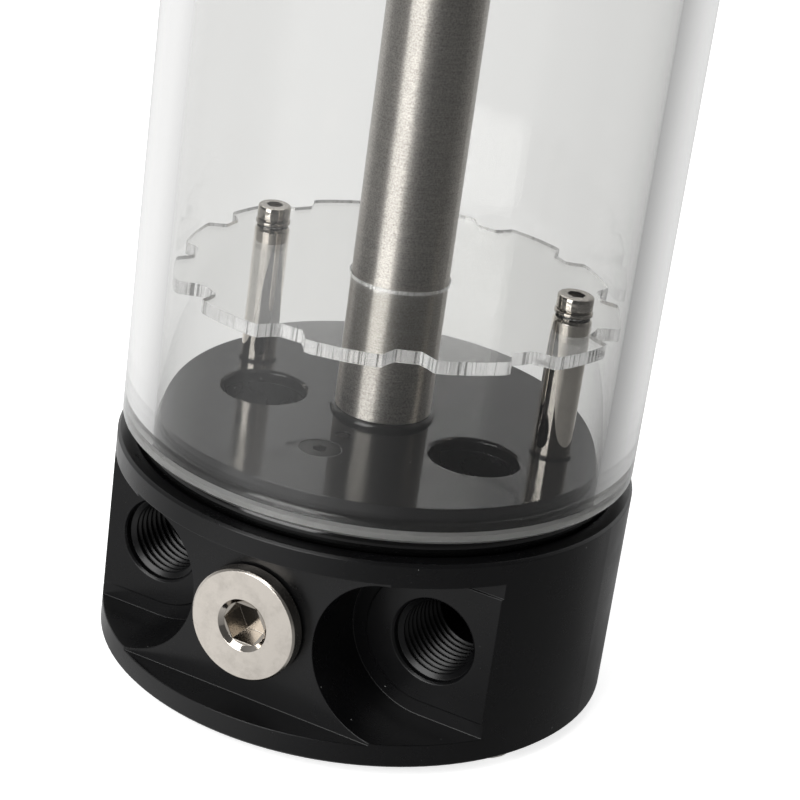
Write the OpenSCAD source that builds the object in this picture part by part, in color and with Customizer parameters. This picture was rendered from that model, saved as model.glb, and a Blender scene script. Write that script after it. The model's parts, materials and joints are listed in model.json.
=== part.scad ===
// Tube reservoir for a liquid cooling loop: a round ported base, a clear tube, a lid, and a centre
// tube that both feeds the reservoir and ties base and lid together.
// The middle of the feet's undersides is the origin, +Z runs up the tube, the port side faces -Y.

/* [Clear tube] */
// Outside diameter of the clear tube
tube_d = 80; // [78:1:92]
// Wall thickness of the clear tube
tube_wall = 5; // [4:0.25:6]
// Length of the clear tube
tube_len = 140; // [100:5:260]
// Chamfer round both ends of the clear tube
tube_chamfer = 0.5; // [0.2:0.1:0.8]

/* [Base block] */
// How far the rims stand out past the clear tube
rim_lip = 0.5; // [0.3:0.1:2]
// Height of the base block from its underside to the top of its rim
base_h = 33.5; // [32:0.5:36]
// Thickness of the full round foot plate under the port recesses
plinth_h = 3.6; // [3:0.1:5]
// Thickness of the full round rim above the port recesses
rim_h = 3.4; // [3:0.1:5]
// How deep the front flat is cut into the round side
flat_depth = 6.2; // [5.5:0.1:7]
// How much deeper the two side port recesses go than the front flat
recess_depth = 12.3; // [11:0.1:14]
// Distance of each side recess's round end from the middle plane
recess_x = 23.3; // [23:0.1:24]
// How much lower the side recesses are than the front flat, above and below
recess_margin = 0.3; // [0.2:0.1:0.6]
// Height of the pad round each side port above the recess floor
pad_h = 0.3; // [0.2:0.1:0.5]
// Width of the groove between that pad and the recess wall
pad_groove = 2.5; // [2:0.1:3]
// Height of the boss that carries the floor plate, above the rim
boss_h = 4.8; // [4.4:0.2:7]
// Small chamfer on the turned outer edges
edge_chamfer = 0.4; // [0.2:0.1:0.8]

/* [Ports] */
// Distance from the middle port to each side port
port_spacing = 24; // [23:0.5:27]
// Outside diameter of the G1/4 port thread
thread_d = 13.157; // [12.5:0.05:13.5]
// Pitch of the port thread, which sets the travel of one turn
thread_pitch = 1.337; // [1:0.01:1.5]
// Depth of the threaded part of each port
port_depth = 14; // [12:0.5:15]
// Chamfer at the mouth of each port
port_chamfer = 0.35; // [0.2:0.05:0.6]
// Bore of the passages behind the ports
passage_d = 10; // [8:0.5:11]
// Bore of the two wells that drop from the floor into the side ports
well_d = 13.5; // [12:0.5:14]
// Distance of each well from the middle plane
well_x = 18.5; // [18:0.5:20]
// Distance of the wells in front of the tube axis
well_y = 5.3; // [4:0.1:7]
// Chamfer at the top of each well
well_chamfer = 0.4; // [0.2:0.1:0.6]

/* [Seals] */
// Thickness of the ring under each end of the clear tube
face_seal_d = 3.6; // [3:0.1:4]
// How deep the groove of that ring is
face_groove_depth = 0.6; // [0.4:0.1:1]
// Thickness of the ring that seals against the bore of the clear tube
bore_seal_d = 1.8; // [1.5:0.1:2.2]
// Thickness of the small ring under the shoulder of the centre tube
foot_seal_d = 1.4; // [1:0.1:1.8]

/* [Floor plate] */
// Thickness of the floor plate
plate_t = 2; // [1.8:0.1:3]
// Distance of the countersunk floor screw in front of the tube axis
floor_screw_y = 19; // [17:0.5:21]
// Head diameter of the countersunk floor screw
floor_screw_head_d = 6.4; // [6:0.1:6.8]
// Distance of the locating pin in front of the tube axis
pin_y = 12.4; // [11.5:0.1:13]
// Diameter of the locating pin
pin_d = 2.5; // [2:0.1:3]

/* [Centre tube] */
// Outside diameter of the centre tube
centre_d = 15; // [14:0.25:16]
// Wall thickness of the centre tube
centre_wall = 1; // [0.8:0.1:1.2]
// Length of the spigot that goes down into the base block
spigot_len = 12; // [10:0.5:13]
// Width of each outlet window near the top of the centre tube
window_w = 6; // [4:0.5:7]
// Height of each outlet window
window_h = 14; // [10:0.5:20]
// Number of outlet windows round the centre tube
window_count = 4; // [3:1:4]

/* [Baffle disc] */
// Thickness of the clear baffle disc
disc_t = 2; // [1.5:0.25:3]
// Gap between the baffle disc and the bore of the clear tube
disc_gap = 0.7; // [0.5:0.1:1.5]
// Depth of the notches round the baffle disc
notch_depth = 2.9; // [2:0.1:3.5]
// Number of notches round the baffle disc
notch_count = 12; // [8:1:16]
// Share of one notch pitch that a notch takes up
notch_share = 0.44; // [0.3:0.02:0.6]

/* [Posts] */
// Diameter of the two posts that carry the baffle disc
post_d = 6; // [5.5:0.25:7]
// Height of the posts above the floor plate
post_h = 20.7; // [15:0.5:30]
// Distance of each post's axis from the bore of the clear tube
post_inset = 8; // [7.5:0.25:8.5]
// Distance of the posts behind the tube axis
post_y = 5; // [4:0.5:7]
// Thread diameter of the post studs, the disc screws and the floor screw
screw_d = 3; // [2.5:0.1:3.5]
// Head diameter of the disc screws
cap_d = 5.5; // [5:0.1:6]
// Head height of the disc screws
cap_h = 3; // [2.5:0.1:3.5]

/* [Plugs] */
// Head diameter of the port plugs
plug_d = 17.6; // [16.5:0.1:18.5]
// Head thickness of the port plugs
plug_head_h = 2.6; // [2.3:0.1:3.5]
// Gap between a plug's head and its seat, which the plug's ring fills
plug_gap = 0.3; // [0.2:0.05:0.5]
// Threaded length of the port plugs
plug_thread_len = 8; // [6:0.5:10]
// Thickness of the ring under a plug's head
plug_seal_d = 1.5; // [1.2:0.1:1.6]
// Width across the flats of the plug's hexagon socket
plug_hex = 6; // [5:0.5:7]

/* [Lid] */
// Height of the lid above the underside of its rim
lid_h = 18; // [16:0.5:24]
// Chamfer round the top edge of the lid
lid_chamfer = 1; // [0.5:0.25:2]
// Distance of the lid ports from the tube axis
lid_port_x = 24; // [23.5:0.5:25]
// Diameter of the clamp knob
knob_d = 20; // [18:0.5:22]
// Height of the clamp knob
knob_h = 8; // [6:0.5:12]
// Thread diameter of the clamp knob's shank
clamp_d = 8; // [6:0.5:8]
// Length of the shank that reaches into the threaded insert
clamp_reach = 9; // [7:0.5:11]
// Number of grip flutes round the clamp knob
flute_count = 24; // [16:2:30]

/* [Feet] */
// Height of the rubber feet
foot_h = 2; // [1:0.5:4]
// Diameter of the rubber feet
foot_d = 9; // [7:0.5:10]
// Distance of the feet from the tube axis
foot_ring_r = 34; // [30:0.5:35]
// How far round from the port side each front foot is, in degrees
foot_angle = 66; // [50:1:75]

/* [Underside] */
// Diameter of the circle of the three threaded mounting holes under the base
mount_pcd = 56; // [50:1:60]
// Bore of the threaded mounting holes
mount_hole_d = 3.3; // [2.5:0.1:4.2]
// Depth of the threaded mounting holes
mount_hole_depth = 7; // [5:0.5:8]

/* [Hidden] */
$fn = 96;
fit_gap = 0.06;            // radial clearance of parts that slide or screw into each other
seat_gap = 0.03;           // gap left at faces that only just touch across a moving joint
cut = 1;                   // how far a cut runs past the face it opens
tube_r = tube_d / 2;
bore_r = tube_r - tube_wall;
rim_r = tube_r + rim_lip;
thread_r = thread_d / 2;
post_x = sqrt(pow(bore_r - post_inset, 2) - pow(post_y, 2));
flat_y = rim_r - flat_depth;
recess_y = flat_y - recess_depth;
seal_recess = 0.5;         // depth of the floor recess that holds the centre tube's ring
centre_socket = 2;         // how far the centre tube goes up into the lid
sump_depth = 1;            // how far the upright bores go below the passages that they meet
ring_gap = 0.05;           // room beside a rubber ring in its groove

// levels up the assembly
base_z = foot_h;
flat_z0 = base_z + plinth_h;
flat_z1 = base_z + base_h - rim_h;
recess_r = (flat_z1 - flat_z0) / 2 - recess_margin;
pad_y = recess_y + pad_h;
port_z = (flat_z0 + flat_z1) / 2;
sump_z = port_z - passage_d / 2 - sump_depth;
rim_z = base_z + base_h;
tube_gap = face_seal_d - face_groove_depth;
tube_z = rim_z + tube_gap;
plate_z = rim_z + boss_h;
floor_z = plate_z + plate_t;
disc_z = floor_z + post_h;
tube_top_z = tube_z + tube_len;
lid_rim_z = tube_top_z + tube_gap;
lid_top_z = lid_rim_z + lid_h;
lid_boss_z = lid_rim_z - boss_h - plate_t;
shoulder_z = floor_z + foot_seal_d - seal_recess;
centre_top_z = lid_boss_z + centre_socket;

// seals and the boss that carries them
boss_gap = 0.8;            // gap between a boss and the bore of the clear tube
boss_r = bore_r - boss_gap;
face_groove_r = boss_r + face_seal_d + 2 * ring_gap;
seal_groove_h = bore_seal_d + ring_gap;
face_seal_r = boss_r + face_seal_d / 2 + ring_gap;
bore_seal_r = bore_r - bore_seal_d / 2;

// centre tube
centre_r = centre_d / 2;
centre_bore_r = centre_r - centre_wall;
spigot_step = 0.9;         // how much slimmer the spigot is than the tube above it
spigot_r = centre_r - spigot_step;
spigot_bore_r = spigot_r - centre_wall;
spigot_z = floor_z - spigot_len - seal_recess;
centre_chamfer = 0.2;
funnel_z = floor_z + 3;    // where the spigot's narrower bore starts to widen
foot_ring_out = spigot_r + foot_seal_d;
insert_floor = 1;          // solid end of the threaded insert
insert_h = clamp_reach + 1 + insert_floor;
window_gap = 3;            // wall left between the windows and the insert

// posts and screws
screw_r = screw_d / 2;
stud_len = 6;
post_bore_len = 8;
post_chamfer = 0.4;
washer_t = 0.4;
washer_lip = 0.25;
disc_hole_gap = 0.2;       // radial room round the screws in the baffle disc
disc_bore_gap = 0.3;       // radial room round the centre tube in the baffle disc
notch_floor = 0.45;        // share of a notch that is level
notch_points = 20;         // points round the disc for each notch and lobe
disc_screw_end = 7;        // how far the disc screws reach down into the posts
cap_chamfer = 0.35;
cap_socket = 1.5;          // depth of the hexagon sockets in the disc screws
socket_hex = 2.5;
floor_screw_len = 7;
floor_screw_cone = floor_screw_head_d / 2 - screw_r;
floor_screw_edge = 0.2;    // width of the flat rim left round the countersunk head
floor_socket = 1.2;        // depth of the hexagon socket in the floor screw
floor_socket_hex = 2;
flush_gap = 0.1;           // how far the floor screw and the pin stay below the floor
pin_len = 6;
pin_chamfer = 0.3;

// plugs and knob
plug_chamfer = 0.3;
plug_foot_chamfer = 0.6;
plug_socket_depth = 5;
socket_lead = 0.7;         // width and depth of the round lead-in of the larger sockets
plug_seal_r = thread_r + plug_seal_d / 2 + ring_gap;
knob_hex = 6;
knob_socket_depth = 4;
knob_chamfer = 0.6;
knob_seal_d = 1.5;
knob_seal_r = clamp_d / 2 + 6 * ring_gap + knob_seal_d / 2;
clamp_gap = 0.2;           // radial room round the clamp knob's shank in the lid
flute_r = 0.9;
flute_out = 0.35;          // how far outside the knob's edge the flutes are centred
flute_z = 1.2;             // height of the plain band below the flutes
foot_round = 0.6;

function hex_r(flats) = flats / 2 / cos(30);
function polar(r, a) = [r * cos(a), r * sin(a)];
function from_front(r, a) = [r * sin(a), -r * cos(a)];

black = "#1d1d1e";
rubber = "#0e0e0f";
nickel = "#cfc8bf";
steel = "#a9a7a4";

// ---- shared shapes ----

// turns the +Z of a shape that screws in from the front towards -Y, with its seat on the front flat
module at_front() translate([0, -flat_y, port_z]) rotate([90, 0, 0]) children();

module ring(r, d) rotate_extrude() translate([r, 0]) circle(d = d, $fn = 32);

// a straight threaded hole, its mouth at z = 0 and open towards +Z
module port_cut(depth) {
    translate([0, 0, -depth]) cylinder(r = thread_r, h = depth + cut);
    translate([0, 0, -port_chamfer])
        cylinder(r1 = thread_r, r2 = thread_r + port_chamfer + cut, h = port_chamfer + cut);
}

// outline of a rim with its seal groove, and of the boss that goes into the clear tube
module rim_and_boss_profile(height, outer_chamfer, boss) polygon([
    [0, 0], [rim_r - outer_chamfer, 0], [rim_r, outer_chamfer], [rim_r, height - edge_chamfer],
    [rim_r - edge_chamfer, height], [face_groove_r, height],
    [face_groove_r, height - face_groove_depth], [boss_r, height - face_groove_depth],
    each boss, [0, boss[len(boss) - 1][1]]]);

// one port plug, its head towards +Z and its seat at z = 0
module plug() color(nickel) difference() {
    union() {
        translate([0, 0, plug_gap])
            turned_head(plug_d / 2, plug_head_h, plug_chamfer, plug_chamfer);
        translate([0, 0, -plug_thread_len]) turned_head(thread_r - fit_gap,
            plug_thread_len + plug_gap + cut, plug_foot_chamfer, 0);
    }
    ring_groove(plug_seal_r, plug_seal_d, thread_r - fit_gap);
    socket_cut(plug_hex, plug_gap + plug_head_h, plug_socket_depth);
}

// a turned cylinder with its foot at z = 0 and a chamfer at its foot and at its top
module turned_head(r, h, foot, top) rotate_extrude() polygon([
    [0, 0], [r - foot, 0], [r, foot], [r, h - top], [r - top, h], [0, h]]);

// the groove under a head, between its shank and the outer side of its ring
module ring_groove(ring_r, ring_d, shank_r) difference() {
    translate([0, 0, -cut])
        cylinder(r = ring_r + ring_d / 2 + ring_gap, h = ring_d + 2 * seat_gap + cut);
    translate([0, 0, -2 * cut]) cylinder(r = shank_r, h = ring_d + 4 * cut);
}

// a hexagon socket with a round lead-in chamfer, cut down from the level top
module socket_cut(flats, top, depth) {
    translate([0, 0, top - depth]) cylinder(r = hex_r(flats), h = depth + cut, $fn = 6);
    translate([0, 0, top - socket_lead])
        cylinder(r1 = hex_r(flats), r2 = hex_r(flats) + socket_lead + cut, h = socket_lead + cut);
}

module plug_seal() color(rubber)
    translate([0, 0, seat_gap + plug_seal_d / 2]) ring(plug_seal_r, plug_seal_d);

// ---- base ----

// outline of a side recess seen from the front: a slot with a round inner end
module recess_outline(r) {
    circle(r = r);
    translate([0, -r]) square([rim_r, 2 * r]);
}

// the recess that makes room round a side port, and the low pad that the port opens in
module side_recess() translate([recess_x, -recess_y, port_z]) rotate([90, 0, 0]) difference() {
    linear_extrude(rim_r) recess_outline(recess_r);
    translate([0, 0, -cut]) linear_extrude(cut + pad_h) recess_outline(recess_r - pad_groove);
}

module front_flat() translate([-rim_r, -rim_r - flat_y, flat_z0])
    cube([2 * rim_r, rim_r, flat_z1 - flat_z0]);

module side_port() {
    translate([port_spacing, -pad_y, port_z]) rotate([90, 0, 0]) {
        port_cut(port_depth);
        translate([0, 0, well_y - pad_y]) cylinder(d = passage_d, h = pad_y - well_y);
    }
    translate([well_x, -well_y, sump_z]) cylinder(d = well_d, h = floor_z);
}

// the middle port feeds the centre tube
module middle_port() {
    at_front() {
        port_cut(port_depth);
        translate([0, 0, -flat_y]) cylinder(d = passage_d, h = flat_y);
    }
    translate([0, 0, sump_z]) cylinder(r = spigot_bore_r, h = floor_z);
    translate([0, 0, spigot_z]) cylinder(r = spigot_r + fit_gap, h = floor_z);
}

module base_block() color(black) difference() {
    translate([0, 0, base_z]) rotate_extrude() rim_and_boss_profile(base_h, edge_chamfer, [
        [boss_r, base_h + boss_h - seal_groove_h],
        [bore_r - bore_seal_d, base_h + boss_h - seal_groove_h],
        [bore_r - bore_seal_d, base_h + boss_h]]);
    front_flat();
    side_recess();
    mirror([1, 0, 0]) side_recess();
    side_port();
    mirror([1, 0, 0]) side_port();
    middle_port();
    for (x = [-post_x, post_x]) translate([x, post_y, floor_z - washer_t - stud_len])
        cylinder(r = screw_r, h = floor_z);
    translate([0, -floor_screw_y, floor_z - floor_screw_len]) cylinder(r = screw_r, h = floor_z);
    translate([0, -pin_y, floor_z - pin_len]) cylinder(d = pin_d, h = floor_z);
    for (a = [0 : 120 : 240]) translate([each from_front(mount_pcd / 2, a), base_z - cut])
        cylinder(d = mount_hole_d, h = mount_hole_depth + cut);
}

module floor_plate() color("#3a3a3b") difference() {
    translate([0, 0, plate_z]) cylinder(r = boss_r, h = plate_t);
    for (x = [-well_x, well_x]) translate([x, -well_y, floor_z]) {
        translate([0, 0, -plate_t - cut]) cylinder(d = well_d, h = plate_t + 2 * cut);
        translate([0, 0, -well_chamfer])
            cylinder(d1 = well_d, r2 = well_d / 2 + well_chamfer + cut, h = well_chamfer + cut);
    }
    translate([0, 0, floor_z - seal_recess]) cylinder(r = foot_ring_out + 2 * ring_gap, h = plate_t);
    translate([0, 0, plate_z - cut]) cylinder(r = spigot_r + fit_gap, h = plate_t + 2 * cut);
    for (x = [-post_x, post_x]) translate([x, post_y, plate_z - cut])
        cylinder(r = screw_r + fit_gap, h = plate_t + 2 * cut);
    translate([0, -floor_screw_y, plate_z - cut]) cylinder(r = screw_r + fit_gap, h = plate_t + 2 * cut);
    translate([0, -floor_screw_y, floor_z - floor_screw_cone])
        cylinder(r1 = screw_r, r2 = floor_screw_head_d / 2 + cut, h = floor_screw_cone + cut);
    translate([0, -pin_y, plate_z - cut]) cylinder(d = pin_d, h = plate_t + 2 * cut);
}

module floor_screw() color(nickel) translate([0, -floor_screw_y, floor_z]) difference() {
    rotate_extrude() polygon([
        [0, -floor_screw_len], [screw_r, -floor_screw_len], [screw_r, -floor_screw_cone],
        [floor_screw_head_d / 2 - flush_gap, -flush_gap],
        [floor_screw_head_d / 2 - flush_gap - floor_screw_edge, -flush_gap], [0, -flush_gap]]);
    translate([0, 0, -flush_gap - floor_socket])
        cylinder(r = hex_r(floor_socket_hex), h = floor_socket + cut, $fn = 6);
}

module locating_pin() color(nickel) translate([0, -pin_y, floor_z - pin_len])
    turned_head(pin_d / 2, pin_len - flush_gap, 0, pin_chamfer);

// ---- seals of the clear tube ----

module base_face_seal() color(rubber)
    translate([0, 0, tube_z - face_seal_d / 2]) ring(face_seal_r, face_seal_d);

module base_bore_seal() color(rubber)
    translate([0, 0, plate_z - seal_groove_h / 2]) ring(bore_seal_r, bore_seal_d);

module lid_face_seal() color(rubber)
    translate([0, 0, tube_top_z + face_seal_d / 2]) ring(face_seal_r, face_seal_d);

module lid_bore_seal() color(rubber)
    translate([0, 0, lid_rim_z - boss_h + seal_groove_h / 2]) ring(bore_seal_r, bore_seal_d);

// ---- clear tube and what stands in it ----

module reservoir_tube() color("#e8eeee", 0.35) translate([0, 0, tube_z]) rotate_extrude()
    polygon([[bore_r + tube_chamfer, 0], [tube_r - tube_chamfer, 0], [tube_r, tube_chamfer],
        [tube_r, tube_len - tube_chamfer], [tube_r - tube_chamfer, tube_len],
        [bore_r + tube_chamfer, tube_len], [bore_r, tube_len - tube_chamfer],
        [bore_r, tube_chamfer]]);

module centre_tube() color(steel) difference() {
    rotate_extrude() polygon([
        [spigot_bore_r, spigot_z], [spigot_r, spigot_z], [spigot_r, shoulder_z],
        [centre_r - centre_chamfer, shoulder_z], [centre_r, shoulder_z + centre_chamfer],
        [centre_r, centre_top_z], [centre_bore_r, centre_top_z],
        [centre_bore_r, funnel_z + spigot_step], [spigot_bore_r, funnel_z]]);
    for (i = [0 : window_count - 1]) rotate([0, 0, 360 / window_count * (i + 0.5)])
        translate([0, 0, centre_top_z - insert_h - window_gap - window_h]) outlet_window();
}

module outlet_window() rotate([0, 90, 0]) for (end = [window_w / 2, window_h - window_w / 2])
    translate([-end, 0, 0]) {
        cylinder(d = window_w, h = centre_d);
        if (end == window_w / 2)
            translate([window_w - window_h, -window_w / 2, 0]) cube([window_h - window_w, window_w, centre_d]);
    }

module centre_tube_seal() color(rubber) translate([0, 0, shoulder_z - foot_seal_d / 2])
    ring(spigot_r + foot_seal_d / 2, foot_seal_d);

// threaded plug pressed into the top of the centre tube
module tube_insert() color(steel) translate([0, 0, centre_top_z - insert_h]) difference() {
    cylinder(r = centre_bore_r, h = insert_h);
    translate([0, 0, insert_floor]) cylinder(r = clamp_d / 2, h = insert_h);
}

// a post with a stud below and a threaded hole in its top
module post() color(nickel) difference() {
    rotate_extrude() polygon([
        [0, -stud_len], [screw_r, -stud_len], [screw_r, washer_t], [post_d / 2, washer_t],
        [post_d / 2, post_h - post_chamfer], [post_d / 2 - post_chamfer, post_h], [0, post_h]]);
    translate([0, 0, post_h - post_bore_len]) cylinder(r = screw_r, h = post_bore_len + cut);
}

module post_left() translate([-post_x, post_y, floor_z]) post();
module post_right() translate([post_x, post_y, floor_z]) post();

module post_washers() color(rubber) for (x = [-post_x, post_x]) translate([x, post_y, floor_z])
    difference() {
        cylinder(r = post_d / 2 + washer_lip, h = washer_t);
        translate([0, 0, -cut]) cylinder(r = screw_r, h = washer_t + 2 * cut);
    }

// how far the edge of the disc dips at angle a: 0 on a lobe, 1 on the level floor of a notch
function notch(a) = let (t = abs((a * notch_count / 360 + 0.5) % 1 - 0.5) * 2 / notch_share)
    t >= 1 ? 0 : t < notch_floor ? 1 : (1 + cos(180 * (t - notch_floor) / (1 - notch_floor))) / 2;

module baffle_disc() color("#f2f6f6", 0.5) translate([0, 0, disc_z]) difference() {
    r = bore_r - disc_gap;
    step = 360 / notch_count / notch_points;
    linear_extrude(disc_t)
        polygon([for (a = [0 : step : 360 - step / 2]) polar(r - notch_depth * notch(a), a)]);
    translate([0, 0, -cut]) cylinder(r = centre_r + disc_bore_gap, h = disc_t + 2 * cut);
    for (x = [-post_x, post_x]) translate([x, post_y, -cut])
        cylinder(r = screw_r + disc_hole_gap, h = disc_t + 2 * cut);
}

module disc_screws() color(nickel) for (x = [-post_x, post_x]) translate([x, post_y, disc_z + disc_t])
    difference() {
        rotate_extrude() polygon([
            [0, -disc_screw_end - disc_t], [screw_r - fit_gap, -disc_screw_end - disc_t],
            [screw_r - fit_gap, 0], [cap_d / 2, 0], [cap_d / 2, cap_h - cap_chamfer],
            [cap_d / 2 - cap_chamfer, cap_h], [0, cap_h]]);
        translate([0, 0, cap_h - cap_socket])
            cylinder(r = hex_r(socket_hex), h = cap_socket + cut, $fn = 6);
    }

// ---- plugs ----

module front_plug() at_front() plug();
module front_plug_seal() at_front() plug_seal();
module fill_plug() translate([-lid_port_x, 0, lid_top_z]) plug();
module fill_plug_seal() translate([-lid_port_x, 0, lid_top_z]) plug_seal();
module vent_plug() translate([lid_port_x, 0, lid_top_z]) plug();
module vent_plug_seal() translate([lid_port_x, 0, lid_top_z]) plug_seal();

// ---- lid ----

module lid_block() color(black) difference() {
    translate([0, 0, lid_top_z]) mirror([0, 0, 1]) rotate_extrude()
        rim_and_boss_profile(lid_h, lid_chamfer, [
            [boss_r, lid_h + boss_h - seal_groove_h],
            [bore_r - bore_seal_d, lid_h + boss_h - seal_groove_h],
            [bore_r - bore_seal_d, lid_h + boss_h],
            [boss_r, lid_h + boss_h], [boss_r, lid_h + boss_h + plate_t]]);
    for (x = [-lid_port_x, lid_port_x]) translate([x, 0, lid_top_z]) {
        port_cut(port_depth);
        translate([0, 0, -lid_h - boss_h - plate_t - cut]) cylinder(d = passage_d, h = lid_h + boss_h + plate_t);
    }
    translate([0, 0, lid_boss_z - cut]) cylinder(r = clamp_d / 2 + clamp_gap, h = lid_top_z);
    translate([0, 0, lid_boss_z - cut]) cylinder(r = centre_r + fit_gap, h = centre_socket + cut);
}

// a fluted knob whose shank screws into the insert in the centre tube and pulls the lid down
module clamp_knob() color(nickel) translate([0, 0, lid_top_z]) difference() {
    shank_end = centre_top_z - clamp_reach - lid_top_z;
    union() {
        translate([0, 0, plug_gap]) turned_head(knob_d / 2, knob_h, knob_chamfer, knob_chamfer);
        translate([0, 0, shank_end])
            cylinder(r = clamp_d / 2 - fit_gap, h = plug_gap + cut - shank_end);
    }
    for (i = [0 : flute_count - 1]) rotate([0, 0, 360 / flute_count * i])
        translate([knob_d / 2 + flute_out, 0, plug_gap + flute_z])
            cylinder(r = flute_r, h = knob_h, $fn = 24);
    ring_groove(knob_seal_r, knob_seal_d, clamp_d / 2 - fit_gap);
    socket_cut(knob_hex, plug_gap + knob_h, knob_socket_depth);
}

module clamp_knob_seal() color(rubber)
    translate([0, 0, lid_top_z + seat_gap + knob_seal_d / 2]) ring(knob_seal_r, knob_seal_d);

// ---- feet ----

// three stick-on feet with rounded lower edges, two towards the port side and one at the back
module feet() color("#c9c7c2") for (a = [-foot_angle, foot_angle, 180])
    translate([each from_front(foot_ring_r, a), 0]) rotate_extrude() polygon([
        [0, 0], [foot_d / 2 - foot_round, 0], [foot_d / 2 - foot_round / 3, foot_round / 2],
        [foot_d / 2, foot_h], [0, foot_h]]);

base_block();
floor_plate();
floor_screw();
locating_pin();
base_face_seal();
base_bore_seal();
reservoir_tube();
centre_tube();
centre_tube_seal();
tube_insert();
post_left();
post_right();
post_washers();
baffle_disc();
disc_screws();
front_plug();
front_plug_seal();
feet();
lid_block();
lid_face_seal();
lid_bore_seal();
clamp_knob();
clamp_knob_seal();
fill_plug();
fill_plug_seal();
vent_plug();
vent_plug_seal();
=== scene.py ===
import json
from math import cos, pi, radians, sin

import bpy
from mathutils import Matrix, Vector


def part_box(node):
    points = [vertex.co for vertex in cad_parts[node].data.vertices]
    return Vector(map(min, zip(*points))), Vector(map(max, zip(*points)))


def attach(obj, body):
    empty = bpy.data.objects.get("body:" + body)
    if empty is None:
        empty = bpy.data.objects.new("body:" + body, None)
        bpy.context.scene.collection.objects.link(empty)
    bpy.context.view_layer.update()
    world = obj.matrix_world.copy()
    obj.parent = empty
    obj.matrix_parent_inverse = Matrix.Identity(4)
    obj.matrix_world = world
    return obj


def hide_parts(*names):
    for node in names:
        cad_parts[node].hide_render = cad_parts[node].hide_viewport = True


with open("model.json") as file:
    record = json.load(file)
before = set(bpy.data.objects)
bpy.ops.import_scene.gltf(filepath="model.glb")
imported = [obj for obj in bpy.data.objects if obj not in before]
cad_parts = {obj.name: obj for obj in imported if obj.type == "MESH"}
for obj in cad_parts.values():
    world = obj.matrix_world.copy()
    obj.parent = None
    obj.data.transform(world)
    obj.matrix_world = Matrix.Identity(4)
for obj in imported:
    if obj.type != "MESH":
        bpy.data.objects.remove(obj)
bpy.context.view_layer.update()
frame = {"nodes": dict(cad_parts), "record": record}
node = frame["nodes"]
bpy.ops.object.select_all(action="DESELECT")


# ---- studio ----
# A long lens close to the height of the lid looks down at the port side, a little rolled. The floor is
# a sheet of white paper; one tall soft box stands in front and one hangs behind.

MM = 0.001
scene = bpy.context.scene


def linear(hex_colour):
    """Linear RGBA of an sRGB hex colour such as "1d1d1e"."""
    channels = [int(hex_colour[i:i + 2], 16) / 255 for i in (0, 2, 4)]
    return [c / 12.92 if c <= 0.04045 else ((c + 0.055) / 1.055) ** 2.4 for c in channels] + [1.0]


def add(tree, kind, inputs=None, **settings):
    """A new shader node with its settings, and its inputs as values or as sockets to link."""
    made = tree.nodes.new("ShaderNode" + kind)
    for name, value in settings.items():
        setattr(made, name, value)
    for name, value in (inputs or {}).items():
        if isinstance(value, bpy.types.NodeSocket):
            tree.links.new(value, made.inputs[name])
        else:
            made.inputs[name].default_value = value
    return made


def new_material(name):
    """An empty node material, with its tree and its output node."""
    material = bpy.data.materials.new(name)
    material.use_nodes = True
    tree = material.node_tree
    tree.nodes.clear()
    return material, tree, tree.nodes.new("ShaderNodeOutputMaterial")


view_azimuth = radians(25.04)
view_height = radians(22.42)
view_roll = radians(8.0)
view_distance = 378.4 * MM
view_shift = Vector((7.92 * MM, 37.91 * MM))
base_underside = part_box("base_block")[0].z

to_camera = Vector((sin(view_azimuth) * cos(view_height), -cos(view_azimuth) * cos(view_height),
                    sin(view_height)))
level = Vector((cos(view_azimuth), sin(view_azimuth), 0))
rise = to_camera.cross(level)
across = level * cos(view_roll) + rise * sin(view_roll)
upward = rise * cos(view_roll) - level * sin(view_roll)
place = to_camera * view_distance + across * view_shift.x + upward * view_shift.y
place.z += base_underside

lens = bpy.data.cameras.new("camera")
lens.sensor_width = 36
lens.lens = 104.86
lens.clip_start = 0.01
lens.clip_end = 30
camera = bpy.data.objects.new("camera", lens)
camera.matrix_world = Matrix.Translation(place) @ Matrix((across, upward, to_camera)).transposed().to_4x4()
scene.collection.objects.link(camera)
scene.camera = camera
scene.view_settings.view_transform = "Standard"

# Brightness of the floor and the room by compass direction, in degrees from the port side towards +X. The
# camera stands at 25 degrees, with a white backdrop across from it and the unlit part of the room to its
# right. MIRRORED is what the outer surfaces reflect, and SEEN is what shows through the clear tube.
MIRRORED_FLOOR = ((-180, 0.62), (-150, 0.65), (-125, 0.90), (-100, 0.90), (-85, 0.82), (-65, 0.62),
                  (-45, 0.50), (-33, 0.72), (-20, 0.88), (0, 0.70), (14, 0.46), (31, 0.27), (60, 0.18),
                  (110, 0.18), (149, 0.42), (180, 0.62))
MIRRORED_ROOM = ((-180, 1.0), (-110, 1.0), (-85, 0.30), (-40, 0.12), (0, 0.12), (30, 0.08), (110, 0.10),
                 (135, 0.45), (150, 1.0), (180, 1.0))
SEEN_FLOOR = ((-180, 0.85), (-165, 0.93), (-150, 1.0), (-130, 1.0), (-110, 0.96), (-99, 0.84),
              (-80, 0.50), (-42, 0.48), (-34, 0.90), (-3, 0.92), (10, 0.60), (23, 0.45), (40, 0.20),
              (110, 0.15), (135, 0.25), (150, 0.45), (165, 0.68), (180, 0.85))
SEEN_ROOM = ((-180, 0.75), (-165, 0.80), (-150, 0.85), (-130, 0.90), (-105, 0.90), (-93, 0.30),
             (-80, 0.08), (110, 0.08), (135, 0.20), (150, 0.40), (165, 0.60), (180, 0.75))


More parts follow.
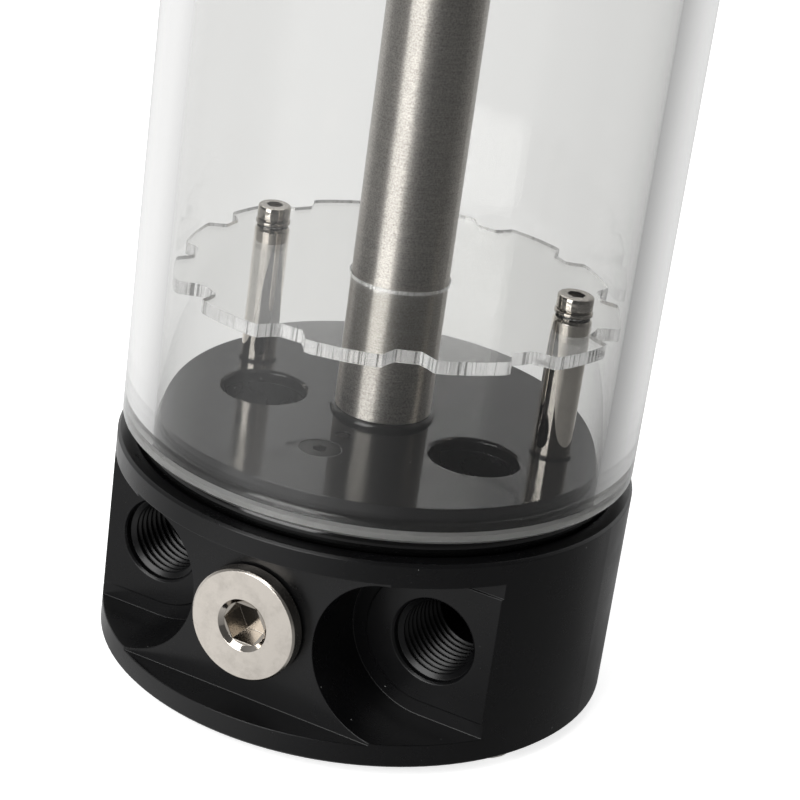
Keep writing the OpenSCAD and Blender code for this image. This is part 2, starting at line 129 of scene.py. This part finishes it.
def by_direction(tree, vector, stops):
    """A brightness that goes through the stops as the direction goes round the tube's axis."""
    part = add(tree, "SeparateXYZ", {"Vector": vector})
    behind = add(tree, "Math", {0: part.outputs["Y"], 1: -1.0}, operation="MULTIPLY").outputs[0]
    turn = add(tree, "Math", {0: part.outputs["X"], 1: behind}, operation="ARCTAN2").outputs[0]
    share = add(tree, "MapRange", {"Value": turn, "From Min": -pi, "From Max": pi}).outputs[0]
    ramp = add(tree, "ValToRGB", {"Fac": share})
    while len(ramp.color_ramp.elements) < len(stops):
        ramp.color_ramp.elements.new(0.5)
    for element, (degrees, brightness) in zip(ramp.color_ramp.elements, stops):
        element.position = degrees / 360 + 0.5
        element.color = (brightness, brightness, brightness, 1)
    return ramp.outputs["Color"]


# The room: dim for the light that it gives, white to the camera, and banded in reflections.
ROOM_LIGHT = (0.4, 0.4, 0.4, 1)
WHITE = (1, 1, 1, 1)
world = bpy.data.worlds.new("studio")
scene.world = world
world.use_nodes = True
tree = world.node_tree
tree.nodes.clear()
rays = add(tree, "LightPath").outputs
towards = add(tree, "TexCoord").outputs["Generated"]
mirrored = by_direction(tree, towards, MIRRORED_ROOM)
seen = by_direction(tree, towards, SEEN_ROOM)
light = add(tree, "MixRGB", {"Fac": rays["Is Glossy Ray"], "Color1": ROOM_LIGHT, "Color2": mirrored})
light = add(tree, "MixRGB", {"Fac": rays["Is Transmission Ray"], "Color1": light.outputs[0], "Color2": seen})
light = add(tree, "MixRGB", {"Fac": rays["Is Camera Ray"], "Color1": light.outputs[0], "Color2": WHITE})
sky = add(tree, "Background", {"Color": light.outputs[0]})
tree.links.new(sky.outputs[0], add(tree, "OutputWorld").inputs["Surface"])

# The paper keeps its shadows. Its own glow lifts it to the white of the backdrop for the camera alone.
PAPER_GLOW = 0.72
bpy.ops.mesh.primitive_grid_add(x_subdivisions=8, y_subdivisions=8, size=8)
floor = bpy.context.object
floor.name = "floor"
paper, tree, out = new_material("white paper")
rays = add(tree, "LightPath").outputs
spot = add(tree, "TexCoord").outputs["Object"]
sheet = add(tree, "BsdfDiffuse", {"Color": linear("e6e6e6")}).outputs[0]
lift = add(tree, "Emission", {"Color": WHITE, "Strength": PAPER_GLOW}).outputs[0]
to_the_camera = add(tree, "AddShader", {0: sheet, 1: lift}).outputs[0]
# In reflections and through the tube the paper shows no lit shading of its own. It glows with the brightness
# of MIRRORED_FLOOR and SEEN_FLOOR instead: a painted pool of light on its left and a painted shadow on its
# right.
mirrored = add(tree, "Emission", {"Color": by_direction(tree, spot, MIRRORED_FLOOR)}).outputs[0]
seen = add(tree, "Emission", {"Color": by_direction(tree, spot, SEEN_FLOOR)}).outputs[0]
shown = add(tree, "MixShader", {0: rays["Is Camera Ray"], 1: sheet, 2: to_the_camera}).outputs[0]
shown = add(tree, "MixShader", {0: rays["Is Glossy Ray"], 1: shown, 2: mirrored}).outputs[0]
shown = add(tree, "MixShader", {0: rays["Is Transmission Ray"], 1: shown, 2: seen}).outputs[0]
tree.links.new(shown, out.inputs[0])
floor.data.materials.append(paper)

# enough bounces for light to pass both walls of the tube, the disc and its edges
scene.cycles.max_bounces = 32
scene.cycles.glossy_bounces = 16
scene.cycles.transmission_bounces = 24
scene.cycles.transparent_max_bounces = 32


def soft_box(name, at, size, radiance):
    """A rectangular area lamp whose face has the given radiance, turned towards the tube."""
    middle_of_tube = Vector((0, 0, 0.08))
    lamp = bpy.data.lights.new(name, "AREA")
    lamp.shape = "RECTANGLE"
    lamp.size, lamp.size_y = size
    lamp.energy = radiance * pi * size[0] * size[1]
    holder = bpy.data.objects.new(name, lamp)
    holder.location = at
    holder.rotation_euler = (Vector(at) - middle_of_tube).to_track_quat("Z", "Y").to_euler()
    scene.collection.objects.link(holder)


soft_box("front_box", at=(-0.225, -0.974, 0.6), size=(0.76, 1.2), radiance=5.2)
soft_box("back_box", at=(-0.35, 0.45, 1.1), size=(0.9, 0.9), radiance=1.2)


# ---- base block ----
# A block of black acetal, turned round and then milled flat on the port side, with a slot-shaped
# recess round each side port. The lid is turned from the same bar.

def specks(tree, spot, spacing, size):
    """1 on small scattered specks of dust, about spacing apart, and 0 elsewhere."""
    cells = add(tree, "TexVoronoi", {"Vector": spot, "Scale": 1 / spacing})
    kept = add(tree, "SeparateXYZ", {"Vector": cells.outputs["Color"]}).outputs["X"]
    reach = add(tree, "MapRange", {"Value": kept, "From Min": 0.4, "From Max": 1.0,
                                   "To Min": 0.0, "To Max": size / spacing}).outputs[0]
    return add(tree, "Math", {0: cells.outputs["Distance"], 1: reach}, operation="LESS_THAN").outputs[0]


def acetal(name, colour, rough, gloss, line_height):
    """Black acetal with fine tool lines round the tube's axis, clouded gloss and specks of dust."""
    material, tree, out = new_material(name)
    spot = add(tree, "TexCoord").outputs["Object"]
    # tool lines about 0.4 mm apart, drawn wider than the cutter's real feed so that they show
    turned = add(tree, "Mapping", {"Vector": spot, "Scale": (0.06 / MM, 0.06 / MM, 2.5 / MM)}).outputs[0]
    lines = add(tree, "TexNoise", {"Vector": turned, "Scale": 1.0, "Detail": 3.0,
                                   "Roughness": 0.6}).outputs[0]
    # the plastic's own grain, half a millimetre wide, also coarser than life
    grain = add(tree, "TexNoise", {"Vector": spot, "Scale": 2 / MM, "Detail": 3.0}).outputs[0]
    height = add(tree, "Mix", {"Factor": 0.5, 2: lines, 3: grain}).outputs[0]
    deburred = add(tree, "Bevel", {"Radius": 0.25 * MM}, samples=8).outputs[0]
    bump = add(tree, "Bump", {"Height": height, "Strength": line_height, "Distance": 0.02 * MM,
                              "Normal": deburred}).outputs[0]
    # patches about 11 mm wide, where hands and cloths have changed the gloss
    cloud = add(tree, "TexNoise", {"Vector": spot, "Scale": 0.09 / MM, "Detail": 4.0,
                                   "Roughness": 0.65}).outputs[0]
    roughness = add(tree, "MapRange", {"Value": cloud, "From Min": 0.3, "From Max": 0.7,
                                       "To Min": rough - 0.05, "To Max": rough + 0.07}).outputs[0]
    dust = specks(tree, spot, spacing=2.5 * MM, size=0.14 * MM)
    shade = add(tree, "MixRGB", {"Fac": dust, "Color1": linear(colour),
                                 "Color2": linear("6f6f6e")}).outputs[0]
    shader = add(tree, "BsdfPrincipled", {"Base Color": shade, "Roughness": roughness, "IOR": 1.46,
                                          "Specular IOR Level": gloss, "Normal": bump})
    tree.links.new(shader.outputs[0], out.inputs[0])
    return material


def dress(material, *names):
    """Gives CAD nodes their material."""
    for name in names:
        for slot in node[name].material_slots:
            slot.material = material


# as it comes off the lathe and the mill: satin, so that highlights are broad and soft
turned_acetal = acetal("turned black acetal", "0b0b0c", rough=0.27, gloss=0.38, line_height=0.35)
dress(turned_acetal, "base_block", "lid_block")


# ---- port threads ----
# The two open ports carry a G1/4 pipe thread tapped into the acetal. One ridge with sloping sides winds
# down each bore from the chamfer to the end of the tapped depth.

PORT_R = 6.5785 * MM       # major radius of G1/4
PORT_CREST_R = 5.72 * MM   # minor radius
PORT_PITCH = 1.337 * MM
TAPPED_TURNS = 10
MOUTH_DEPTH = 0.5 * MM     # the chamfer's depth
SUNK = 0.02 * MM           # how far the ridge's root goes into the bore's wall
ROOT_SHARE = 0.98          # the root's width as a share of the pitch
CREST_SHARE = 0.2          # the crest's width as a share of the root's


def wind_ridge(name, root_r, crest_r, pitch, turns, at, material):
    """A thread ridge that winds along +Y from the point at, round an axis parallel to Y."""
    bpy.ops.mesh.primitive_plane_add(size=pitch, location=((root_r + crest_r) / 2, 0, 0))
    ridge = bpy.context.object
    ridge.name = name
    bpy.ops.object.mode_set(mode="EDIT")
    bpy.ops.transform.resize(value=(abs(root_r - crest_r) / pitch, ROOT_SHARE, 1),
                             center_override=ridge.location)
    bpy.ops.mesh.select_all(action="DESELECT")
    bpy.ops.object.mode_set(mode="OBJECT")
    bpy.ops.object.transform_apply(location=True)
    for corner in ridge.data.vertices:
        corner.select = abs(corner.co.x - crest_r) < 0.1 * MM
    bpy.ops.object.mode_set(mode="EDIT")
    bpy.ops.transform.resize(value=(1, CREST_SHARE, 1), center_override=(0, 0, 0))
    bpy.ops.mesh.select_all(action="SELECT")
    bpy.ops.mesh.delete(type="ONLY_FACE")
    bpy.ops.object.mode_set(mode="OBJECT")
    winding = ridge.modifiers.new("winding", "SCREW")
    winding.axis = "Y"
    winding.screw_offset = pitch
    winding.iterations = turns
    winding.steps = winding.render_steps = 64
    bpy.ops.object.modifier_apply(modifier="winding")
    bpy.ops.object.mode_set(mode="EDIT")
    bpy.ops.mesh.select_all(action="SELECT")
    bpy.ops.mesh.fill_holes(sides=4)
    bpy.ops.mesh.normals_make_consistent(inside=False)
    bpy.ops.transform.translate(value=at)
    bpy.ops.object.mode_set(mode="OBJECT")
    bpy.ops.object.shade_smooth_by_angle(angle=radians(30))
    ridge.data.materials.append(material)
    return ridge


mounts = {mount["name"]: Vector(mount["pos_m"]) for mount in frame["record"]["mounts"]}
for side in ("left", "right"):
    mouth = mounts["port_" + side] + Vector((0, MOUTH_DEPTH, 0))
    ridge = wind_ridge("port_thread_" + side, PORT_R + SUNK, PORT_CREST_R, PORT_PITCH, TAPPED_TURNS,
                       mouth, turned_acetal)
    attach(ridge, "reservoir")


# ---- floor plate ----
# A disc of the same acetal, held by one countersunk screw of blackened steel and kept from turning
# by a pin.

# faced with a fine cut, so that the posts show in it
faced_acetal = acetal("faced black acetal", "0b0b0c", rough=0.08, gloss=0.55, line_height=0.06)
dress(faced_acetal, "floor_plate")

# black oxide is thin and slightly porous: a dark grey metal with a dull, uneven shine
black_oxide, tree, out = new_material("black oxide on steel")
spot = add(tree, "TexCoord").outputs["Object"]
pores = add(tree, "TexNoise", {"Vector": spot, "Scale": 1.5 / MM, "Detail": 3.0}).outputs[0]
deburred = add(tree, "Bevel", {"Radius": 0.12 * MM}, samples=8).outputs[0]
bump = add(tree, "Bump", {"Height": pores, "Strength": 0.3, "Distance": 0.01 * MM,
                          "Normal": deburred}).outputs[0]
roughness = add(tree, "MapRange", {"Value": pores, "To Min": 0.34, "To Max": 0.5}).outputs[0]
# the outer 0.6 mm of the head lies in the shadow of the countersink
low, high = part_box("floor_screw")
head_r = (high.x - low.x) / 2
head_middle = Vector(((low.x + high.x) / 2, (low.y + high.y) / 2, high.z))
from_axis = add(tree, "VectorMath", {0: spot, 1: head_middle}, operation="DISTANCE").outputs["Value"]
in_shadow = add(tree, "Math", {0: from_axis, 1: head_r - 0.2 * MM, 2: 0.4 * MM},
                operation="COMPARE").outputs[0]
shade = add(tree, "MixRGB", {"Fac": in_shadow, "Color1": linear("1b1a19"),
                             "Color2": linear("030303")}).outputs[0]
shader = add(tree, "BsdfPrincipled", {"Base Color": shade, "Metallic": 0.8, "Roughness": roughness,
                                      "Normal": bump})
tree.links.new(shader.outputs[0], out.inputs[0])
dress(black_oxide, "floor_screw", "locating_pin")


# ---- posts and disc screws ----
# Turned brass posts, nickel-plated, which screw into the base with studs. A socket-head screw of polished
# stainless steel in the top of each holds the disc.

SOCKET_LEAD_R = 4.2 * MM   # outer radius of the cone that leads into a plug's socket
SOCKET_R = 3.5 * MM        # to the corners of a hexagon 6 mm across flats


def bright_metal(name, colour, rough, grain_height, socket=None):
    """Plated or polished metal, faintly smudged. A socket is (a point on its axis, the axis), and its hexagon
    is painted darker as shade.
    """
    material, tree, out = new_material(name)
    spot = add(tree, "TexCoord").outputs["Object"]
    # polishing marks, coarser than life so that they show
    grain = add(tree, "TexNoise", {"Vector": spot, "Scale": 1.5 / MM, "Detail": 3.0}).outputs[0]
    roughness = add(tree, "MapRange", {"Value": grain, "To Min": rough - 0.02,
                                       "To Max": rough + 0.03}).outputs[0]
    # smudges about 3 mm wide
    smudges = add(tree, "TexNoise", {"Vector": spot, "Scale": 0.3 / MM, "Detail": 5.0,
                                     "Roughness": 0.7}).outputs[0]
    dulling = add(tree, "MapRange", {"Value": smudges, "From Min": 0.45, "From Max": 0.75,
                                     "To Max": 0.3}).outputs[0]
    shade = add(tree, "MixRGB", {"Fac": dulling, "Color1": linear(colour),
                                 "Color2": linear("8c867f")}).outputs[0]
    if socket:
        # the broached hexagon and its turned lead are smoother than the face
        seat, axis = socket
        arm = add(tree, "VectorMath", {0: spot, 1: seat}, operation="SUBTRACT").outputs[0]
        aside = add(tree, "VectorMath", {0: arm, 1: axis}, operation="CROSS_PRODUCT").outputs[0]
        away = add(tree, "VectorMath", {0: aside}, operation="LENGTH").outputs["Value"]
        in_lead = add(tree, "Math", {0: away, 1: SOCKET_LEAD_R}, operation="LESS_THAN").outputs[0]
        in_hexagon = add(tree, "Math", {0: away, 1: SOCKET_R}, operation="LESS_THAN").outputs[0]
        roughness = add(tree, "Mix", {"Factor": in_lead, 2: roughness, 3: 0.1}).outputs[0]
        roughness = add(tree, "Mix", {"Factor": in_hexagon, 2: roughness, 3: 0.17}).outputs[0]
        # the hexagon's colour is painted darker: a painted shade down in the socket
        shade = add(tree, "MixRGB", {"Fac": in_hexagon, "Color1": shade,
                                     "Color2": linear("a59f97")}).outputs[0]
    deburred = add(tree, "Bevel", {"Radius": 0.15 * MM}, samples=8).outputs[0]
    bump = add(tree, "Bump", {"Height": grain, "Strength": grain_height, "Distance": 0.01 * MM,
                              "Normal": deburred}).outputs[0]
    shader = add(tree, "BsdfPrincipled", {"Base Color": shade, "Metallic": 1.0, "Roughness": roughness,
                                          "Normal": bump})
    tree.links.new(shader.outputs[0], out.inputs[0])
    return material


def turn(name, rings, at, sides):
    """A solid turned round an upright axis, grown upwards through rings of (radius, height)."""
    radius, height = rings[0]
    bpy.ops.mesh.primitive_circle_add(vertices=sides, radius=radius, fill_type="NGON",
                                      location=at + Vector((0, 0, height)))
    turned = bpy.context.object
    turned.name = name
    bpy.ops.object.transform_apply(location=True)
    bpy.ops.object.mode_set(mode="EDIT")
    for new_radius, new_height in rings[1:]:
        bpy.ops.mesh.extrude_region_move(TRANSFORM_OT_translate={"value": (0, 0, new_height - height)})
        bpy.ops.transform.resize(value=(new_radius / radius, new_radius / radius, 1),
                                 center_override=at + Vector((0, 0, new_height)))
        radius, height = new_radius, new_height
    bpy.ops.mesh.select_all(action="SELECT")
    bpy.ops.mesh.normals_make_consistent(inside=False)
    bpy.ops.object.mode_set(mode="OBJECT")
    return turned


# bright nickel on a polished post is warm white and mirrors the inside of the tube sharply
polished_nickel = bright_metal("polished nickel plate", "e8e2d9", rough=0.03, grain_height=0.03)
dress(polished_nickel, "post_left", "post_right")
# polished stainless steel is darker and greyer than nickel
polished_steel = bright_metal("polished stainless steel", "b4afa8", rough=0.07, grain_height=0.05)

SHANK_R = 1.44 * MM
HEAD_R = 2.75 * MM
COLLAR_R = 2.9 * MM
GROOVE_R = HEAD_R - 0.45 * MM
HEX_R = 1.45 * MM          # to the corners of the hexagon socket
HEX_DEPTH = 1.5 * MM
low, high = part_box("disc_screws")
disc_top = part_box("baffle_disc")[1].z
head_h = high.z - disc_top
# shank, then a collar with rounded edges, a narrow groove, and the head with a rounded rim
SCREW_RINGS = ((SHANK_R, low.z - disc_top),
               (SHANK_R, 0),
               (COLLAR_R - 0.15 * MM, 0),
               (COLLAR_R, 0.15 * MM),
               (COLLAR_R, 0.5 * MM),
               (COLLAR_R - 0.15 * MM, 0.65 * MM),
               (GROOVE_R, 0.7 * MM),
               (GROOVE_R, 0.85 * MM),
               (HEAD_R - 0.15 * MM, 0.9 * MM),
               (HEAD_R, 1.05 * MM),
               (HEAD_R, head_h - 0.35 * MM),
               (HEAD_R - 0.1 * MM, head_h - 0.12 * MM),
               (HEAD_R - 0.35 * MM, head_h))
for side in ("left", "right"):
    post_low, post_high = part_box("post_" + side)
    axis = (post_low + post_high) / 2
    screw = turn("disc_screw_" + side, SCREW_RINGS, Vector((axis.x, axis.y, disc_top)), sides=48)
    bpy.ops.mesh.primitive_cylinder_add(vertices=6, radius=HEX_R, depth=2 * HEX_DEPTH,
                                        location=(axis.x, axis.y, high.z))
    broach = bpy.context.object
    socket = screw.modifiers.new("socket", "BOOLEAN")
    socket.object = broach
    socket.solver = "EXACT"
    bpy.context.view_layer.objects.active = screw
    bpy.ops.object.modifier_apply(modifier="socket")
    bpy.data.objects.remove(broach)
    bpy.ops.object.select_all(action="DESELECT")
    screw.select_set(True)
    bpy.ops.object.shade_smooth_by_angle(angle=radians(25))
    screw.data.materials.append(polished_steel)
    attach(screw, "reservoir")
    if side == "left":
        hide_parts("disc_screws")


# ---- plugs and clamp knob ----
# Turned brass, nickel-plated, with a hexagon socket. The front plug closes the middle port, two close the
# fill and vent holes in the lid, and the fluted knob clamps the lid. Each shank carries a cut thread.

CLAMP_R = 4.0 * MM           # major radius of M8
CLAMP_CREST_R = 3.3 * MM     # minor radius
CLAMP_PITCH = 1.25 * MM
SHANK_GAP = 0.06 * MM        # the shanks are this much thinner than their holes
RIDGE_SUNK = 0.05 * MM       # how far a ridge's root goes into its shank
PLAIN_TURNS = 1.2            # left without a ridge, under the head and at the foot
HEAD_DOWN = radians(-90)     # turns a ridge that winds along +Y so that it winds down


def copy_of(name, new_name):
    """A merged copy of a CAD node's mesh, left alone in the selection, with no materials."""
    copy = node[name].copy()
    copy.data = node[name].data.copy()
    copy.name = new_name
    scene.collection.objects.link(copy)
    bpy.ops.object.select_all(action="DESELECT")
    copy.select_set(True)
    bpy.context.view_layer.objects.active = copy
    bpy.ops.mesh.customdata_custom_splitnormals_clear()
    bpy.ops.object.mode_set(mode="EDIT")
    bpy.ops.mesh.select_mode(type="VERT")
    bpy.ops.mesh.select_all(action="SELECT")
    bpy.ops.mesh.remove_doubles(threshold=0.001 * MM)
    bpy.ops.mesh.select_all(action="DESELECT")
    bpy.ops.object.mode_set(mode="OBJECT")
    copy.data.materials.clear()
    return copy


def turn_down(plug, seat, inward, shank_r, root_r):
    """Thins a plug's shank to the root of its thread."""
    near = 0.1 * MM
    for point in plug.data.vertices:
        arm = point.co - seat
        depth = arm.dot(inward)
        away = (arm - depth * inward).length
        on_side = abs(away - shank_r) < near
        on_foot = depth > near and root_r < away < shank_r
        point.select = on_side or on_foot
    factor = root_r / shank_r
    bpy.ops.object.mode_set(mode="EDIT")
    bpy.ops.transform.resize(value=[1 if part else factor for part in inward], center_override=seat)
    bpy.ops.object.mode_set(mode="OBJECT")
    bpy.ops.object.shade_smooth_by_angle(angle=radians(25))


lid_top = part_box("lid_block")[1].z
port_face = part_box("front_plug_seal")[1].y
into_port = Vector((0, 1, 0))
into_lid = Vector((0, 0, -1))
for name, inward, hole_r, root_r, pitch in (
        ("front_plug", into_port, PORT_R, PORT_CREST_R, PORT_PITCH),
        ("fill_plug", into_lid, PORT_R, PORT_CREST_R, PORT_PITCH),
        ("vent_plug", into_lid, PORT_R, PORT_CREST_R, PORT_PITCH),
        ("clamp_knob", into_lid, CLAMP_R, CLAMP_CREST_R, CLAMP_PITCH)):
    low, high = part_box(name)
    seat = (low + high) / 2
    if inward == into_port:
        seat.y = port_face
        length = high.y - port_face
    else:
        seat.z = lid_top
        length = lid_top - low.z
    # plated over a finely turned face: an even satin white, with a mirror only in the socket
    finish = bright_metal("satin nickel on " + name.replace("_", " "), "dfd8cf", rough=0.24,
                          grain_height=0.25, socket=(seat, inward))
    plug = copy_of(name, "turned_" + name)
    turn_down(plug, seat, inward, hole_r - SHANK_GAP, root_r)
    plug.data.materials.append(finish)
    ridge = wind_ridge(name + "_thread", root_r - RIDGE_SUNK, hole_r - SHANK_GAP, pitch,
                       round(length / pitch - PLAIN_TURNS), (0, pitch / 2, 0), finish)
    if inward == into_lid:
        ridge.rotation_euler.x = HEAD_DOWN
    ridge.location = seat
    bpy.ops.object.transform_apply(location=True, rotation=True)
    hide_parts(name)
    for piece in (plug, ridge):
        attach(piece, name)


# ---- seals and feet ----
# Moulded nitrile rings in turned grooves and under the plugs and posts, and three pale feet of soft
# silicone stuck under the base.

def rubber(name, colour, rough):
    """Moulded rubber with a faint skin."""
    material, tree, out = new_material(name)
    spot = add(tree, "TexCoord").outputs["Object"]
    # the mould's texture, a little under 1 mm wide so that it shows
    skin = add(tree, "TexNoise", {"Vector": spot, "Scale": 1.2 / MM, "Detail": 4.0}).outputs[0]
    bump = add(tree, "Bump", {"Height": skin, "Strength": 0.2, "Distance": 0.02 * MM}).outputs[0]
    roughness = add(tree, "MapRange", {"Value": skin, "To Min": rough - 0.05,
                                       "To Max": rough + 0.05}).outputs[0]
    shader = add(tree, "BsdfPrincipled", {"Base Color": linear(colour), "Roughness": roughness, "IOR": 1.5,
                                          "Normal": bump})
    tree.links.new(shader.outputs[0], out.inputs[0])
    return material


# greased on assembly, so it is black with a narrow, wet-looking highlight
nitrile = rubber("black nitrile rubber", "0a0a0a", rough=0.13)
dress(nitrile, "base_face_seal", "base_bore_seal", "centre_tube_seal", "post_washers", "front_plug_seal",
      "lid_face_seal", "lid_bore_seal", "clamp_knob_seal", "fill_plug_seal", "vent_plug_seal")
# matt and milky grey
pale_rubber = rubber("pale silicone rubber", "c9c7c2", rough=0.5)
dress(pale_rubber, "feet")


# ---- centre tube ----
# A stainless tube with a turned foot, brushed round its axis. It stands on a ring in the floor plate, and
# a threaded insert in its top takes the clamp knob.

# brushing round the axis stretches every highlight into an upright band with sharp sides
brushed_steel, tree, out = new_material("brushed stainless steel")
spot = add(tree, "TexCoord").outputs["Object"]
# scratches about 0.2 mm apart, coarser than the real belt's so that they show
round_axis = add(tree, "Mapping", {"Vector": spot, "Scale": (0.25 / MM, 0.25 / MM, 9 / MM)}).outputs[0]
scratches = add(tree, "TexNoise", {"Vector": round_axis, "Scale": 1.0, "Detail": 4.0,
                                   "Roughness": 0.65}).outputs[0]
# pits left by the grit, about 0.3 mm wide
pits = add(tree, "TexNoise", {"Vector": spot, "Scale": 3.5 / MM, "Detail": 2.0}).outputs[0]
bump = add(tree, "Bump", {"Height": scratches, "Strength": 0.15, "Distance": 0.01 * MM}).outputs[0]
bump = add(tree, "Bump", {"Height": pits, "Strength": 0.12, "Distance": 0.01 * MM, "Normal": bump}).outputs[0]
tone = add(tree, "Mix", {"Factor": 0.6, 2: scratches, 3: pits}).outputs[0]
tone = add(tree, "MapRange", {"Value": tone, "From Min": 0.35, "From Max": 0.65}).outputs[0]
colour = add(tree, "MixRGB", {"Fac": tone, "Color1": linear("9c9792"), "Color2": linear("d2cec8")}).outputs[0]
along_scratches = add(tree, "Tangent", direction_type="RADIAL", axis="Z").outputs[0]
shader = add(tree, "BsdfPrincipled", {"Base Color": colour, "Metallic": 1.0, "Roughness": 0.4,
                                      "Anisotropic": 1.0, "Anisotropic Rotation": 0.25,
                                      "Tangent": along_scratches, "Normal": bump})
tree.links.new(shader.outputs[0], out.inputs[0])
dress(brushed_steel, "centre_tube", "tube_insert")


# ---- clear tube ----
# Extruded clear acrylic, 5 mm thick, with its ends turned square and chamfered. It is held between the
# rubber rings of the base and the lid.

TUBE_WALL = 5 * MM
END_CHAMFER = 0.5 * MM


def acrylic(name, tint, rough, clear=1.0, ridges=0.0):
    """Acrylic that lets light through to what stands behind it; clear is the share that isn't milky."""
    material, tree, out = new_material(name)
    inputs = {"Base Color": linear(tint), "Roughness": rough, "IOR": 1.49, "Transmission Weight": clear}
    if ridges:
        # a laser leaves upright ridges about 0.4 mm apart on the edge that it cuts
        spot = add(tree, "TexCoord").outputs["Object"]
        upright = add(tree, "Mapping", {"Vector": spot, "Scale": (2.6 / MM, 2.6 / MM, 0.04 / MM)}).outputs[0]
        wave = add(tree, "TexNoise", {"Vector": upright, "Scale": 1.0, "Detail": 3.0}).outputs[0]
        inputs["Normal"] = add(tree, "Bump", {"Height": wave, "Strength": ridges,
                                              "Distance": 0.16 * MM}).outputs[0]
        # the hollows between the ridges are painted darker: a painted shade in the creases
        painted_hollow_shade = add(tree, "MapRange", {"Value": wave, "From Min": 0.38, "From Max": 0.46}).outputs[0]
        inputs["Base Color"] = add(tree, "MixRGB", {"Fac": painted_hollow_shade, "Color1": linear("7c7c7b"),
                                                    "Color2": linear(tint)}).outputs[0]
    shader = add(tree, "BsdfPrincipled", inputs).outputs[0]
    see_through = add(tree, "BsdfTransparent", {"Color": linear(tint)}).outputs[0]
    for_shadows = add(tree, "LightPath").outputs["Is Shadow Ray"]
    mixed = add(tree, "MixShader", {0: for_shadows, 1: shader, 2: see_through})
    tree.links.new(mixed.outputs[0], out.inputs[0])
    return material


def select_edges_sharper_than(degrees):
    """In edit mode, selects only the edges whose faces meet at more than this angle."""
    bpy.ops.mesh.select_mode(type="EDGE")
    bpy.ops.mesh.select_all(action="DESELECT")
    bpy.ops.mesh.edges_select_sharp(sharpness=radians(degrees))


# extruded walls are glass-smooth and almost colourless
clear_acrylic = acrylic("clear extruded acrylic", "f5f5f4", rough=0.0)
# a turned end is frosted and scatters the light, so it shows as a grey ring
turned_end = acrylic("turned acrylic end", "6c6c6a", rough=0.4, clear=0.45)
low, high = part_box("reservoir_tube")
bpy.ops.mesh.primitive_cylinder_add(vertices=256, radius=high.x, depth=high.z - low.z,
                                    end_fill_type="NOTHING", location=(0, 0, (low.z + high.z) / 2))
clear_tube = bpy.context.object
clear_tube.name = "clear_tube"
bpy.ops.object.transform_apply(location=True)
wall = clear_tube.modifiers.new("wall", "SOLIDIFY")
wall.thickness = TUBE_WALL
wall.offset = -1
wall.use_even_offset = True
bpy.ops.object.modifier_apply(modifier="wall")
bpy.ops.object.mode_set(mode="EDIT")
select_edges_sharper_than(60)
bpy.ops.mesh.bevel(offset=END_CHAMFER, segments=1)
bpy.ops.mesh.select_all(action="SELECT")
bpy.ops.mesh.normals_make_consistent(inside=False)
bpy.ops.object.mode_set(mode="OBJECT")
bpy.ops.object.shade_smooth_by_angle(angle=radians(30))
clear_tube.data.materials.append(clear_acrylic)
clear_tube.data.materials.append(turned_end)
for face in clear_tube.data.polygons:
    on_end = abs(face.normal.z) > 0.3
    face.material_index = int(on_end)
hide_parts("reservoir_tube")
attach(clear_tube, "reservoir")


# ---- baffle disc ----
# Laser-cut from 2 mm clear acrylic, with notches round its rim that let the coolant through. The two
# screws hold it on the posts, and it clears the centre tube.

disc = copy_of("baffle_disc", "clear_disc")
bpy.ops.object.shade_smooth_by_angle(angle=radians(50))
# the laser melts the edge, so it is ridged, a little milky, and lights up
laser_cut = acrylic("laser-cut acrylic edge", "fafafa", rough=0.03, clear=0.75, ridges=0.8)
disc.data.materials.append(clear_acrylic)
disc.data.materials.append(laser_cut)
for face in disc.data.polygons:
    on_edge = abs(face.normal.z) < 0.9
    face.material_index = int(on_edge)
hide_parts("baffle_disc")
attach(disc, "reservoir")
